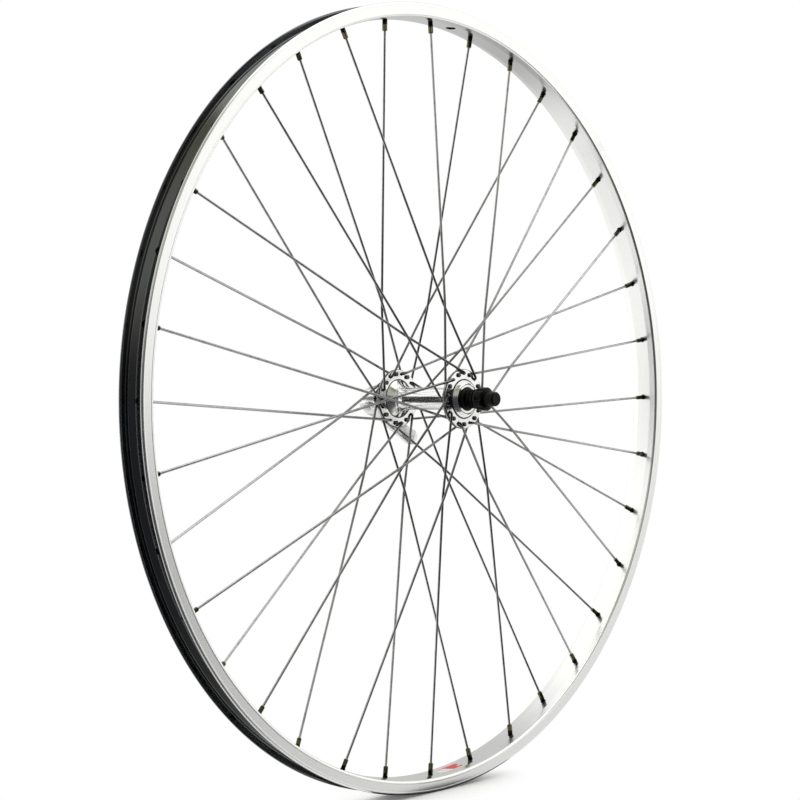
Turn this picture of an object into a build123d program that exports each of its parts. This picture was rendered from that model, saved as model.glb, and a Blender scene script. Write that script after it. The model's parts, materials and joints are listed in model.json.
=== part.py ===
from build123d import *
from math import cos, degrees, radians, sin, tan
import os

# Front bicycle wheel, 622 x 19, without tyre, on a quick-release hub.
# Frame: origin at the wheel centre, +Y along the axle to the left (lever) side, +Z up, +X forward.
# "right" is the -Y side with the adjusting nut.  Angles run from +X towards +Z.  Millimetres.

os.makedirs("parts", exist_ok=True)

# ---------------------------------------------------------------- rim
rim_radius = 317.0
rim_width = 25.5
bead_seat_radius = 311.0
rim_bed_radius = 306.9
rim_inner_radius = 305.0
rim_inner_flat = 13.0
rim_facet_rise = 0.9
side_wall = 1.45
lip_width = 2.2
hook_depth = 2.4
hook_throat = 1.6
well_half_width = 5.4
shelf_half_width = 8.6
seam_angle = 265.0
seam_gap = 0.12
insert_span = 12.0
insert_clearance = 0.05
nipple_hole_radius = 2.3
nipple_stagger = 0.8
valve_angle = 85.0
valve_hole_radius = 4.25
sticker_start = 271.4
sticker_span = 5.6
sticker_width = 12.0
sticker_thickness = 0.12
hairline = 0.02

# ---------------------------------------------------------------- spokes and nipples
spoke_radius = 1.0
spoke_head_radius = 1.8
spoke_head_height = 1.4
spoke_crown = 0.7
spokes_per_set = 9
set_pitch = 360.0 / spokes_per_set
holes_per_side = 2 * spokes_per_set
hole_pitch = 360.0 / holes_per_side
lacing_angle = 60.0
crossing_angle = 10.0
crossing_height = 26.9
crossing_spread = 2.16
crossing_bend = 40.0
elbow_bend_inner = 1.6
elbow_bend_outer = 2.2
nipple_radius = 2.0
nipple_head_radius = 2.9
nipple_length = 14.0
nipple_head_height = 2.6
nipple_flats = 3.3
nipple_flats_length = 7.6
nipple_bore_radius = 1.05
nipple_seat_lift = 1.2
nipple_slot_width = 1.0
nipple_slot_depth = 1.2
nipple_turn_step = 37.0

# ---------------------------------------------------------------- hub shell and bearings
flange_middle = 35.0
flange_thickness = 3.0
flange_radius = 24.0
flange_hole_circle = 20.25
flange_hole_radius = 1.3
barrel_radius = 9.0
barrel_bore = 6.9
boss_radius = 15.0
shell_end = 37.3
cup_seat_radius = 11.5
cup_seat_start = 29.8
press_gap = 0.01
ball_radius = 2.38
ball_circle = 8.4
ball_height = 33.0
race_radius = 2.4
balls_per_row = 9
ball_pitch = 360.0 / balls_per_row
pocket_radius = 2.42
retainer_inner = 9.1
retainer_outer = 10.4
retainer_start = 34.2
retainer_end = 35.9
cup_inner_radius = 10.8
dust_cap_radius = 12.75
dust_cap_opening = 8.7
dust_cap_end = 40.0
cap_skirt_start = 36.1
cap_skirt_inner = 10.1

# ---------------------------------------------------------------- axle and its nuts
axle_radius = 4.5
axle_bore = 2.6
axle_half_length = 54.0
thread_gap = 0.02
cone_radius = 7.4
cone_start = 31.2
cone_end = 44.0
cone_flats = 13.0
washer_end = 45.2
washer_radius = 7.6
locknut_flats = 15.0
locknut_hex_end = 48.8
locknut_face_radius = 7.9
over_locknut_half = 50.0
seal_radius = 9.2
serration_depth = 0.3
serration_width = 0.5
locknut_serrations = 24
clamp_serrations = 30

# ---------------------------------------------------------------- quick release
lever_angle = -36.0
clamp_face = 52.2
housing_radius = 8.6
housing_foot_radius = 9.6
housing_foot_end = 54.0
housing_recess = 6.6
housing_crown_radius = 4.0
housing_end = 71.8
housing_flat = 7.0
recess_bottom = 57.6
cavity_end = 69.85
cam_height = 64.0
cam_throw = 1.25
cam_journal_radius = 2.75
pin_big_radius = 4.05
pin_small_radius = 1.8
running_gap = 0.05
eye_half_thickness = 2.4
eye_half_width = 5.5
eye_half_height = 4.45
eye_slot_half_height = 3.15
eye_slot_half_width = 4.12
rod_radius = 2.5
rod_right_end = 67.5
ear_inner = 7.1
ear_outer = 9.6
ear_radius = 6.4
lever_length = 62.0
lever_root_clear = 11.0
nut_radius = 9.5
nut_body_start = 53.3
nut_neck_start = 61.0
nut_neck_radius = 5.8
nut_end = 70.0
nut_bore_end = 68.2
nut_recess = 5.9
nut_ring_seat = 8.62
nut_ring_depth = 1.04
nut_grip_end = 59.6
nut_flute_radius = 3.0
nut_flutes = 8
clamp_ring_radius = 8.6
spring_wire = 0.4
spring_small_radius = 3.4
spring_taper = 31.0
spring_pitch = 1.15

LEFT = 1
RIGHT = -1


def polar(radius, angle, height):
    """Point at a radius and angle around the axle, at a height along it."""
    return Vector(radius * cos(radians(angle)), height, radius * sin(radians(angle)))


def radial_plane(angle):
    """Plane through the axle: x points outwards at the angle, y runs along the axle."""
    return Plane(
        origin=(0, 0, 0),
        x_dir=(cos(radians(angle)), 0, sin(radians(angle))),
        z_dir=(-sin(radians(angle)), 0, cos(radians(angle))),
    )


def hole_plane(radius, angle, height):
    """Plane square to a spoke hole of the rim, normal pointing away from the hub."""
    return Plane(origin=polar(radius, angle, height), x_dir=(0, 1, 0), z_dir=polar(1, angle, 0))


def turned(count, step):
    """Places a feature repeatedly by turning it around the axle."""
    return [Location((0, 0, 0), (0, 1, 0), -step * i) for i in range(count)]


def revolved(outline, side):
    """Body of revolution about the axle from (radius, height) corners on one side of the hub."""
    with BuildPart() as body:
        with BuildSketch(Plane.XY):
            with BuildLine():
                Polyline(*[(r, side * h) for r, h in outline], close=True)
            make_face()
        revolve(axis=Axis.Y)
    return body


# ================================================================ rim hoop
half_width = rim_width / 2
wall_inside = half_width - side_wall
facet_edge_radius = rim_inner_radius + rim_facet_rise
# corner list of one half of the extrusion, hub side first: radius, half width, corner rounding
rim_half = [
    (rim_inner_radius, rim_inner_flat / 2, 1.5),
    (facet_edge_radius, half_width, 2.0),
    (rim_radius, half_width, 0.8),
    (rim_radius, half_width - lip_width, 0.5),
    (rim_radius - hook_throat, half_width - hook_depth, 0.4),
    (rim_radius - hook_depth, wall_inside - 0.1, 0.4),
    (bead_seat_radius + 0.2, wall_inside, 0.8),
    (bead_seat_radius, shelf_half_width, 1.0),
    (rim_bed_radius, well_half_width, 1.0),
]
rim_mirrored = [(r, -w, rounding) for r, w, rounding in reversed(rim_half)]
rim_corners = rim_half + rim_mirrored
chamber_half = [
    (rim_inner_radius + 1.65, 7.1),
    (facet_edge_radius + 1.2, wall_inside),
    (bead_seat_radius - 1.4, wall_inside),
    (bead_seat_radius - 1.4, 9.4),
]
gap_angle = degrees(seam_gap / rim_radius)

with BuildPart() as rim:
    with BuildSketch(radial_plane(seam_angle - gap_angle / 2)):
        with BuildLine():
            FilletPolyline(
                *[(r, w) for r, w, rounding in rim_corners],
                radius=[rounding for r, w, rounding in rim_corners],
                close=True,
            )
        make_face()
        for side in (LEFT, RIGHT):
            with BuildLine():
                FilletPolyline(*[(r, side * w) for r, w in chamber_half], radius=0.4, close=True)
            make_face(mode=Mode.SUBTRACT)
    revolve(axis=Axis.Y, revolution_arc=360.0 - gap_angle)
    hole_middle = (rim_inner_radius + rim_bed_radius) / 2
    hole_depth = rim_bed_radius - rim_inner_radius
    turns = [hole_pitch * i for i in range(holes_per_side)]
    right_holes = [hole_plane(hole_middle, turn + hole_pitch / 2, -nipple_stagger) for turn in turns]
    left_holes = [hole_plane(hole_middle, turn, nipple_stagger) for turn in turns]
    with BuildSketch(*(right_holes + left_holes)):
        Circle(nipple_hole_radius)
    extrude(amount=hole_depth, both=True, mode=Mode.SUBTRACT)
    with BuildSketch(hole_plane(hole_middle, valve_angle, 0)):
        Circle(valve_hole_radius)
    extrude(amount=hole_depth, both=True, mode=Mode.SUBTRACT)

# ---------------------------------------------------------------- inserts bridging the seam
with BuildPart() as rim_joint_inserts:
    with BuildSketch(radial_plane(seam_angle + insert_span / 2)):
        for side in (LEFT, RIGHT):
            with BuildLine():
                FilletPolyline(*[(r, side * w) for r, w in chamber_half], radius=0.4, close=True)
            make_face()
        offset(amount=-insert_clearance, mode=Mode.REPLACE)
    revolve(axis=Axis.Y, revolution_arc=insert_span)

# ---------------------------------------------------------------- plain sticker beside the seam
with BuildPart() as rim_sticker:
    with BuildSketch(radial_plane(sticker_start + sticker_span)):
        with Locations((rim_inner_radius - hairline - sticker_thickness / 2, 0)):
            Rectangle(sticker_thickness, sticker_width)
    revolve(axis=Axis.Y, revolution_arc=sticker_span)

# ================================================================ spokes and nipples
flange_inner = flange_middle - flange_thickness / 2
flange_outer = flange_middle + flange_thickness / 2


class SpokeLine:
    """Bend points of one spoke: head, elbow, crossing bend and rim hole."""

    def __init__(self, side, head_outside, rim_angle):
        turn = 1 if head_outside else -1
        self.side = side
        self.rim_angle = rim_angle
        self.hub_angle = rim_angle + turn * lacing_angle
        if head_outside:
            self.elbow_bend = elbow_bend_inner
            head = flange_outer
            self.head_outwards = side
            elbow = flange_inner - elbow_bend_inner
        else:
            self.elbow_bend = elbow_bend_outer
            head = flange_inner
            self.head_outwards = -side
            elbow = flange_outer + elbow_bend_outer
        self.head = polar(flange_hole_circle, self.hub_angle, side * head)
        self.elbow = polar(flange_hole_circle, self.hub_angle, side * elbow)
        self.seat = polar(hole_middle, rim_angle, side * nipple_stagger)
        # the last crossing lies on the ray half way to the next spoke of the other set
        flat_hub = polar(flange_hole_circle, turn * lacing_angle, 0)
        flat_rim = polar(hole_middle, 0, 0)
        slope = tan(radians(crossing_angle)) * turn
        along = (flat_hub.Z - slope * flat_hub.X) / (
            flat_hub.Z - slope * flat_hub.X + slope * flat_rim.X
        )
        reach = flat_hub + (flat_rim - flat_hub) * along
        lift = crossing_height + turn * crossing_spread / 2
        self.crossing = polar(reach.length, rim_angle + turn * crossing_angle, side * lift)
        self.direction = (self.seat - self.crossing).normalized()


def make_spoke(line):
    """One bent spoke with its forged head."""
    end = line.seat + line.direction * (nipple_seat_lift + spoke_radius)
    head_inside = line.head + Vector(0, line.head_outwards * hairline, 0)
    with BuildPart() as spoke:
        with BuildLine():
            FilletPolyline(
                head_inside,
                line.elbow,
                line.crossing,
                end,
                radius=[line.elbow_bend, crossing_bend],
            )
        with BuildSketch(Plane(origin=head_inside, z_dir=(0, -line.head_outwards, 0))):
            Circle(spoke_radius)
        sweep()
        with BuildSketch(Plane(origin=head_inside, z_dir=(0, line.head_outwards, 0))):
            Circle(spoke_head_radius)
        extrude(amount=spoke_head_height)
        crown = spoke.faces().sort_by(Axis.Y)
        crown_face = crown[-1] if line.head_outwards > 0 else crown[0]
        fillet(crown_face.edges(), radius=spoke_crown)
    return spoke


def repeat_around(form, name):
    """Nine copies of one spoke, turned around the axle."""
    with BuildPart() as group:
        with Locations(*turned(spokes_per_set, set_pitch)):
            add(form.part)
    group.part.label = name
    return group


right_heads_out = SpokeLine(RIGHT, True, 10.0)
right_heads_in = SpokeLine(RIGHT, False, 30.0)
left_heads_out = SpokeLine(LEFT, True, 20.0)
left_heads_in = SpokeLine(LEFT, False, 0.0)

spokes_right_heads_out = repeat_around(make_spoke(right_heads_out), "spokes_right_heads_out")
spokes_right_heads_in = repeat_around(make_spoke(right_heads_in), "spokes_right_heads_in")
spokes_left_heads_out = repeat_around(make_spoke(left_heads_out), "spokes_left_heads_out")
spokes_left_heads_in = repeat_around(make_spoke(left_heads_in), "spokes_left_heads_in")

# ---------------------------------------------------------------- one nipple, standing on +Z
nipple_top = nipple_seat_lift + nipple_head_height
nipple_foot = nipple_top - nipple_length
with BuildPart() as nipple_form:
    with BuildSketch(Plane.XZ):
        with BuildLine():
            Polyline(
                (0, nipple_foot),
                (nipple_radius - 0.5, nipple_foot),
                (nipple_radius, nipple_foot + 0.6),
                (nipple_radius, nipple_seat_lift),
                (nipple_head_radius, nipple_seat_lift + 0.9),
                (nipple_head_radius, nipple_seat_lift + 1.5),
                (nipple_head_radius - 0.9, nipple_top),
                (0, nipple_top),
                close=True,
            )
        make_face()
    revolve(axis=Axis.Z)
    with BuildSketch(Plane.XY.offset(nipple_foot)):
        Circle(nipple_head_radius)
        Rectangle(nipple_flats, nipple_flats, mode=Mode.SUBTRACT)
    extrude(amount=nipple_flats_length, mode=Mode.SUBTRACT)
    with BuildSketch(Plane.XY.offset(nipple_foot)):
        Circle(nipple_bore_radius)
    extrude(amount=nipple_length, mode=Mode.SUBTRACT)
    with BuildSketch(Plane.XY.offset(nipple_top)):
        Rectangle(nipple_slot_width, 2 * nipple_head_radius + 1)
    extrude(amount=-nipple_slot_depth, mode=Mode.SUBTRACT)


def nipple_places(*lines):
    """A place for every nipple of the given spoke sets, each left at its own wrench angle."""
    places = []
    for line in lines:
        for i in range(spokes_per_set):
            around = Location((0, 0, 0), (0, 1, 0), -set_pitch * i)
            seat = Plane(origin=line.seat, x_dir=(0, 1, 0), z_dir=line.direction).location
            wrench = Location((0, 0, 0), (0, 0, 1), nipple_turn_step * (i + line.rim_angle))
            places.append(around * seat * wrench)
    return places


with BuildPart() as nipples_right:
    with Locations(*nipple_places(right_heads_out, right_heads_in)):
        add(nipple_form.part)

with BuildPart() as nipples_left:
    with Locations(*nipple_places(left_heads_out, left_heads_in)):
        add(nipple_form.part)

# ================================================================ hub shell
with BuildPart() as hub_shell:
    with BuildSketch(Plane.XY):
        for side in (LEFT, RIGHT):
            with BuildLine():
                Polyline(
                    (boss_radius, 0),
                    (0, 0),
                    (0, side * shell_end),
                    (boss_radius, side * shell_end),
                    (boss_radius, side * flange_outer),
                    (flange_radius, side * flange_outer),
                    (flange_radius, side * flange_inner),
                    (boss_radius, side * flange_inner),
                    close=True,
                )
            make_face()
            # waisted barrel: the cut follows the flare from the flange root down to the barrel
            with BuildLine():
                barrel_end = (barrel_radius, side * 20.0)
                flare_top = (boss_radius, side * flange_inner)
                flare = Spline(barrel_end, flare_top, tangents=[(0, side), (1, side * 0.9)])
                Polyline(flare_top, (boss_radius + 1, side * flange_inner), (boss_radius + 1, 0))
                Polyline((boss_radius + 1, 0), (barrel_radius, 0), barrel_end)
            make_face(mode=Mode.SUBTRACT)
    revolve(axis=Axis.Y)
    rims_of_flanges = hub_shell.edges().filter_by(GeomType.CIRCLE)
    rims_of_flanges = rims_of_flanges.filter_by(lambda e: abs(e.radius - flange_radius) < 0.01)
    fillet(rims_of_flanges, radius=1.2)
    boss_edges = hub_shell.edges().filter_by(GeomType.CIRCLE)
    boss_edges = boss_edges.filter_by(lambda e: abs(e.radius - boss_radius) < 0.01)
    boss_edges = boss_edges.filter_by(lambda e: abs(abs(e.arc_center.Y) - shell_end) < 0.01)
    fillet(boss_edges, radius=0.4)
    for side in (LEFT, RIGHT):
        with BuildSketch(Plane.XZ.offset(-side * shell_end)):
            Circle(cup_seat_radius)
        extrude(amount=side * (shell_end - cup_seat_start), mode=Mode.SUBTRACT)
    with BuildSketch(Plane.XZ):
        Circle(barrel_bore)
    extrude(amount=cup_seat_start + 1, both=True, mode=Mode.SUBTRACT)
    for side, first_hole in ((LEFT, 0.0), (RIGHT, hole_pitch / 2)):
        with BuildSketch(Plane.XZ.offset(-side * flange_middle)):
            with PolarLocations(flange_hole_circle, holes_per_side, start_angle=first_hole):
                Circle(flange_hole_radius)
        extrude(amount=flange_thickness, both=True, mode=Mode.SUBTRACT)


# ================================================================ bearings
def make_cup(side):
    """Pressed steel cup with the outer race."""
    mid = race_radius * cos(radians(45))
    outer = cup_seat_radius - press_gap
    start = cup_seat_start + press_gap
    race_bottom = ball_height - race_radius
    with BuildPart() as cup:
        with BuildSketch(Plane.XY):
            with BuildLine():
                Polyline(
                    (ball_circle, side * race_bottom),
                    (barrel_bore, side * race_bottom),
                    (barrel_bore, side * start),
                    (outer, side * start),
                    (outer, side * shell_end),
                    (cup_inner_radius, side * shell_end),
                    (cup_inner_radius, side * ball_height),
                )
                ThreePointArc(
                    (cup_inner_radius, side * ball_height),
                    (ball_circle + mid, side * (ball_height - mid)),
                    (ball_circle, side * race_bottom),
                )
            make_face()
        revolve(axis=Axis.Y)
    return cup


def make_cone(side):
    """Threaded cone with the inner race and two wrench flats."""
    mid = race_radius * cos(radians(45))
    bore = axle_radius + thread_gap
    race_top = ball_height + race_radius
    with BuildPart() as cone:
        with BuildSketch(Plane.XY):
            with BuildLine():
                Polyline(
                    (ball_circle, side * race_top),
                    (ball_circle, side * (race_top + 1.0)),
                    (cone_radius, side * (race_top + 2.0)),
                    (cone_radius, side * (cone_end - 0.4)),
                    (cone_radius - 0.4, side * cone_end),
                    (bore, side * cone_end),
                    (bore, side * cone_start),
                    (ball_circle - race_radius, side * cone_start),
                    (ball_circle - race_radius, side * ball_height),
                )
                ThreePointArc(
                    (ball_circle - race_radius, side * ball_height),
                    (ball_circle - mid, side * (ball_height + mid)),
                    (ball_circle, side * race_top),
                )
            make_face()
        revolve(axis=Axis.Y)
        with BuildSketch(Plane.XZ.offset(-side * cone_end)):
            Circle(cone_radius + 1)
            Rectangle(cone_flats, 3 * cone_radius, mode=Mode.SUBTRACT)
        extrude(amount=side * 1.6, mode=Mode.SUBTRACT)
    return cone


def make_balls(side):
    """Row of bearing balls."""
    with BuildPart() as balls:
        centres = [polar(ball_circle, ball_pitch * i, side * ball_height) for i in range(balls_per_row)]
        with Locations(*centres):
            Sphere(ball_radius)
    return balls


def make_retainer(side):
    """Ring that spaces the balls, with a round pocket at each."""
    outline = [
        (retainer_inner, retainer_start),
        (retainer_outer, retainer_start),
        (retainer_outer, retainer_end),
        (retainer_inner, retainer_end),
    ]
    ring = revolved(outline, side)
    with BuildPart() as retainer:
        add(ring.part)
        centres = [polar(ball_circle, ball_pitch * i, side * ball_height) for i in range(balls_per_row)]
        with Locations(*centres):
            Sphere(pocket_radius, mode=Mode.SUBTRACT)
    return retainer


bearing_cup_left = make_cup(LEFT)
bearing_cup_right = make_cup(RIGHT)
cone_left = make_cone(LEFT)
cone_right = make_cone(RIGHT)
bearing_balls_left = make_balls(LEFT)
bearing_balls_right = make_balls(RIGHT)
ball_retainer_left = make_retainer(LEFT)
ball_retainer_right = make_retainer(RIGHT)

skirt_outer = cup_inner_radius - hairline
cap_seat = shell_end + hairline
dust_cap_outline = [
    (skirt_outer, cap_skirt_start),
    (skirt_outer, cap_seat),
    (dust_cap_radius, cap_seat),
    (dust_cap_radius, dust_cap_end - 0.8),
    (dust_cap_radius - 0.8, dust_cap_end),
    (dust_cap_opening, dust_cap_end),
    (dust_cap_opening, dust_cap_end - 0.8),
    (cap_skirt_inner, dust_cap_end - 0.8),
    (cap_skirt_inner, cap_skirt_start),
]
dust_cap_left = revolved(dust_cap_outline, LEFT)
dust_cap_right = revolved(dust_cap_outline, RIGHT)

seal_bore = cone_radius + hairline
seal_outline = [
    (seal_bore, 38.6),
    (8.3, 38.6),
    (8.4, dust_cap_end + 0.25),
    (seal_radius, dust_cap_end + 0.3),
    (seal_radius, dust_cap_end + 0.9),
    (8.2, dust_cap_end + 2.2),
    (seal_bore, dust_cap_end + 2.3),
]
cone_seal_left = revolved(seal_outline, LEFT)
cone_seal_right = revolved(seal_outline, RIGHT)

# ================================================================ axle, washers and locknuts
with BuildPart() as axle:
    with BuildSketch(Plane.XZ):
        Circle(axle_radius)
    extrude(amount=axle_half_length, both=True)
    chamfer(axle.faces().filter_by(Axis.Y).edges(), length=0.6)
    with BuildSketch(Plane.XZ):
        Circle(axle_bore)
    extrude(amount=axle_half_length, both=True, mode=Mode.SUBTRACT)

nut_bore = axle_radius + thread_gap
washer_start = cone_end + hairline
washer_outline = [
    (nut_bore, washer_start),
    (washer_radius - 0.25, washer_start),
    (washer_radius, washer_start + 0.25),
    (washer_radius, washer_end - 0.25),
    (washer_radius - 0.25, washer_end),
    (nut_bore, washer_end),
]
lock_washer_left = revolved(washer_outline, LEFT)
lock_washer_right = revolved(washer_outline, RIGHT)


def serrations(face, inner, outer, count):
    """Outlines of the radial grooves across a clamping face at a height along the axle."""
    middle = (inner + outer) / 2
    with BuildSketch(Plane.XZ.offset(-face)) as grooves:
        with PolarLocations(middle, count):
            Rectangle(outer - inner + 1.0, serration_width)
    return grooves.sketch


def make_locknut(side):
    """Hexagon locknut with a serrated face for the fork end."""
    start = washer_end + hairline
    corner = locknut_flats / 2 / cos(radians(30))
    with BuildPart() as locknut:
        with BuildSketch(Plane.XY):
            with BuildLine():
                Polyline(
                    (nut_bore, side * start),
                    (corner - 0.7, side * start),
                    (corner, side * (start + 0.5)),
                    (corner, side * (locknut_hex_end - 0.5)),
                    (corner - 0.7, side * locknut_hex_end),
                    (locknut_face_radius, side * locknut_hex_end),
                    (locknut_face_radius, side * over_locknut_half),
                    (nut_bore, side * over_locknut_half),
                    close=True,
                )
            make_face()
        revolve(axis=Axis.Y)
        with BuildSketch(Plane.XZ.offset(-side * start)):
            Circle(corner + 1)
            RegularPolygon(corner, 6, mode=Mode.SUBTRACT)
        extrude(amount=-side * (locknut_hex_end - start), mode=Mode.SUBTRACT)
        face = side * over_locknut_half
        grooves = serrations(face, nut_bore + 1.0, locknut_face_radius, locknut_serrations)
        extrude(grooves, amount=serration_depth, both=True, mode=Mode.SUBTRACT)
    return locknut


locknut_left = make_locknut(LEFT)
locknut_right = make_locknut(RIGHT)

# ================================================================ quick release, lever end
# lever_plane: x along the closed lever, y along the axle, normal along the cam pin
lever_plane = radial_plane(lever_angle)
journal_height = cam_height + cam_throw

with BuildPart() as skewer_rod:
    with BuildSketch(Plane.XZ.offset(rod_right_end)):
        Circle(rod_radius)
    extrude(amount=-(rod_right_end + journal_height - eye_slot_half_height - 0.6))
    chamfer(skewer_rod.faces().sort_by(Axis.Y)[0].edges(), length=0.5)
    with BuildSketch(lever_plane):
        with Locations((0, journal_height)):
            RectangleRounded(2 * eye_half_width, 2 * eye_half_height, 2.6)
    extrude(amount=eye_half_thickness, both=True)
    with BuildSketch(lever_plane):
        with Locations((0, journal_height)):
            SlotOverall(2 * eye_slot_half_width, 2 * eye_slot_half_height)
    extrude(amount=eye_half_thickness + 1, both=True, mode=Mode.SUBTRACT)

with BuildPart() as cam_housing:
    with BuildSketch(lever_plane):
        with BuildLine():
            Polyline(
                (housing_recess, clamp_face),
                (housing_foot_radius, clamp_face),
                (housing_foot_radius, housing_foot_end),
                (housing_radius, housing_foot_end + 1.0),
                (housing_radius, 66.0),
            )
            ThreePointArc((housing_radius, 66.0), (7.05, 69.5), (housing_crown_radius, housing_end))
            Polyline((housing_crown_radius, housing_end), (0, housing_end), (0, recess_bottom))
            Polyline((0, recess_bottom), (housing_recess, recess_bottom), (housing_recess, clamp_face))
        make_face()
    revolve(axis=Axis.Y)
    with BuildSketch(lever_plane.offset(housing_flat), lever_plane.offset(-housing_flat - 4)):
        with Locations((0, 65.2)):
            Rectangle(20, 20)
    extrude(amount=4, mode=Mode.SUBTRACT)
    with BuildSketch(lever_plane):
        with Locations((0, (recess_bottom + cavity_end) / 2)):
            Rectangle(2 * (eye_half_width + 0.15), cavity_end - recess_bottom + 0.02)
    extrude(amount=eye_half_thickness + 0.3, both=True, mode=Mode.SUBTRACT)
    with BuildSketch(lever_plane):
        with Locations((0, cam_height)):
            Circle(pin_big_radius + running_gap)
    extrude(amount=housing_radius, mode=Mode.SUBTRACT)
    with BuildSketch(lever_plane):
        with Locations((0, cam_height)):
            Circle(pin_small_radius + running_gap)
    extrude(amount=-housing_radius, mode=Mode.SUBTRACT)
    grooves = serrations(clamp_face, housing_recess, housing_foot_radius, clamp_serrations)
    extrude(grooves, amount=serration_depth, both=True, mode=Mode.SUBTRACT)

with BuildPart() as cam_pin:
    with BuildSketch(lever_plane.offset(eye_half_thickness + 0.3)):
        with Locations((0, cam_height)):
            Circle(pin_big_radius)
    extrude(amount=ear_outer + 0.4 - eye_half_thickness - 0.3)
    pin_head = cam_pin.faces().sort_by(Axis(lever_plane.origin, lever_plane.z_dir))[-1]
    fillet(pin_head.edges(), radius=0.35)
    with BuildSketch(lever_plane.offset(-eye_half_thickness - 0.3)):
        with Locations((0, journal_height)):
            Circle(cam_journal_radius)
    extrude(amount=2 * eye_half_thickness + 0.6)
    with BuildSketch(lever_plane.offset(-eye_half_thickness - 0.3)):
        with Locations((0, cam_height)):
            Circle(pin_small_radius)
    extrude(amount=-(ear_outer + 0.9 - eye_half_thickness - 0.3))

with BuildPart() as pin_clip:
    with BuildSketch(lever_plane.offset(-ear_outer - hairline)):
        with Locations((0, cam_height)):
            Circle(3.5)
            Circle(pin_small_radius + thread_gap, mode=Mode.SUBTRACT)
    extrude(amount=-0.6)

with BuildPart() as cam_lever:
    with BuildSketch(lever_plane):
        with BuildLine():
            Spline((0, 70.4), (14, 70.5), (32, 68.4), (47, 64.6), (lever_length, 60.2))
            Line((lever_length, 60.2), (lever_length - 0.8, 57.6))
            Spline((lever_length - 0.8, 57.6), (46, 61.3), (31, 64.6), (17, 65.9), (9.6, 63.0))
            Polyline((9.6, 63.0), (9.6, 60.0), (0, 60.0), (0, 70.4))
        make_face()
        with Locations((0, cam_height)):
            Circle(ear_radius)
    extrude(amount=ear_outer, both=True)
    with BuildSketch(Plane(origin=(0, 50, 0), x_dir=lever_plane.x_dir, z_dir=(0, 1, 0))):
        with BuildLine():
            Polyline((22, -5.7), (9, -ear_outer), (-8, -ear_outer), (-8, ear_outer), (9, ear_outer))
            Line((9, ear_outer), (22, 5.7))
            Spline((22, 5.7), (40, 5.9), (55, 6.6))
            ThreePointArc((55, 6.6), (lever_length, 0), (55, -6.6))
            Spline((55, -6.6), (40, -5.9), (22, -5.7))
        make_face()
    extrude(amount=30, mode=Mode.INTERSECT)
    with BuildSketch(lever_plane):
        with Locations((0, cam_height)):
            Circle(lever_root_clear)
    extrude(amount=ear_inner, both=True, mode=Mode.SUBTRACT)
    with BuildSketch(lever_plane):
        with Locations((0, cam_height)):
            Circle(pin_big_radius + thread_gap)
    extrude(amount=ear_outer + 1, mode=Mode.SUBTRACT)
    with BuildSketch(lever_plane):
        with Locations((0, cam_height)):
            Circle(pin_small_radius + thread_gap)
    extrude(amount=-ear_outer - 1, mode=Mode.SUBTRACT)


def make_spring(side):
    """Conical spring, small coil on the axle end, large coil outwards."""
    start = axle_half_length + spring_wire + 0.1
    height = recess_bottom - axle_half_length - 2 * spring_wire - 0.2
    with BuildPart() as spring:
        with BuildLine():
            coil = Helix(
                pitch=spring_pitch,
                height=height,
                radius=spring_small_radius,
                center=(0, side * start, 0),
                direction=(0, side, 0),
                cone_angle=spring_taper,
            )
        with BuildSketch(Plane(origin=coil @ 0, z_dir=coil % 0)):
            Circle(spring_wire)
        sweep(is_frenet=True)
    return spring


spring_left = make_spring(LEFT)
spring_right = make_spring(RIGHT)

# ================================================================ quick release, nut end
with BuildPart() as adjusting_nut:
    with BuildSketch(Plane.XY):
        with BuildLine():
            Polyline(
                (nut_ring_seat, -nut_body_start),
                (nut_radius - 0.5, -nut_body_start),
                (nut_radius, -nut_body_start - 0.5),
                (nut_radius, -nut_grip_end),
                (nut_radius - 1.1, -nut_neck_start),
                (nut_neck_radius + 0.3, -nut_neck_start - 0.8),
                (nut_neck_radius - 0.1, -nut_end + 1.0),
                (nut_neck_radius - 0.9, -nut_end),
                (0, -nut_end),
                (0, -nut_bore_end),
                (rod_radius + running_gap, -nut_bore_end),
                (rod_radius + running_gap, -recess_bottom),
                (nut_recess, -recess_bottom),
                (nut_recess, -nut_body_start - nut_ring_depth),
                (nut_ring_seat, -nut_body_start - nut_ring_depth),
                close=True,
            )
        make_face()
    revolve(axis=Axis.Y)
    with BuildSketch(Plane.XZ.offset(nut_body_start)):
        with PolarLocations(nut_radius + 2.2, nut_flutes):
            Circle(nut_flute_radius)
    extrude(amount=nut_neck_start - nut_body_start, mode=Mode.SUBTRACT)

with BuildPart() as nut_clamp_ring:
    with BuildSketch(Plane.XZ.offset(clamp_face)):
        Circle(clamp_ring_radius)
        Circle(nut_recess + hairline, mode=Mode.SUBTRACT)
    extrude(amount=nut_body_start + 1.0 - clamp_face)
    grooves = serrations(-clamp_face, nut_recess + hairline, clamp_ring_radius, clamp_serrations)
    extrude(grooves, amount=serration_depth, both=True, mode=Mode.SUBTRACT)

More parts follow.
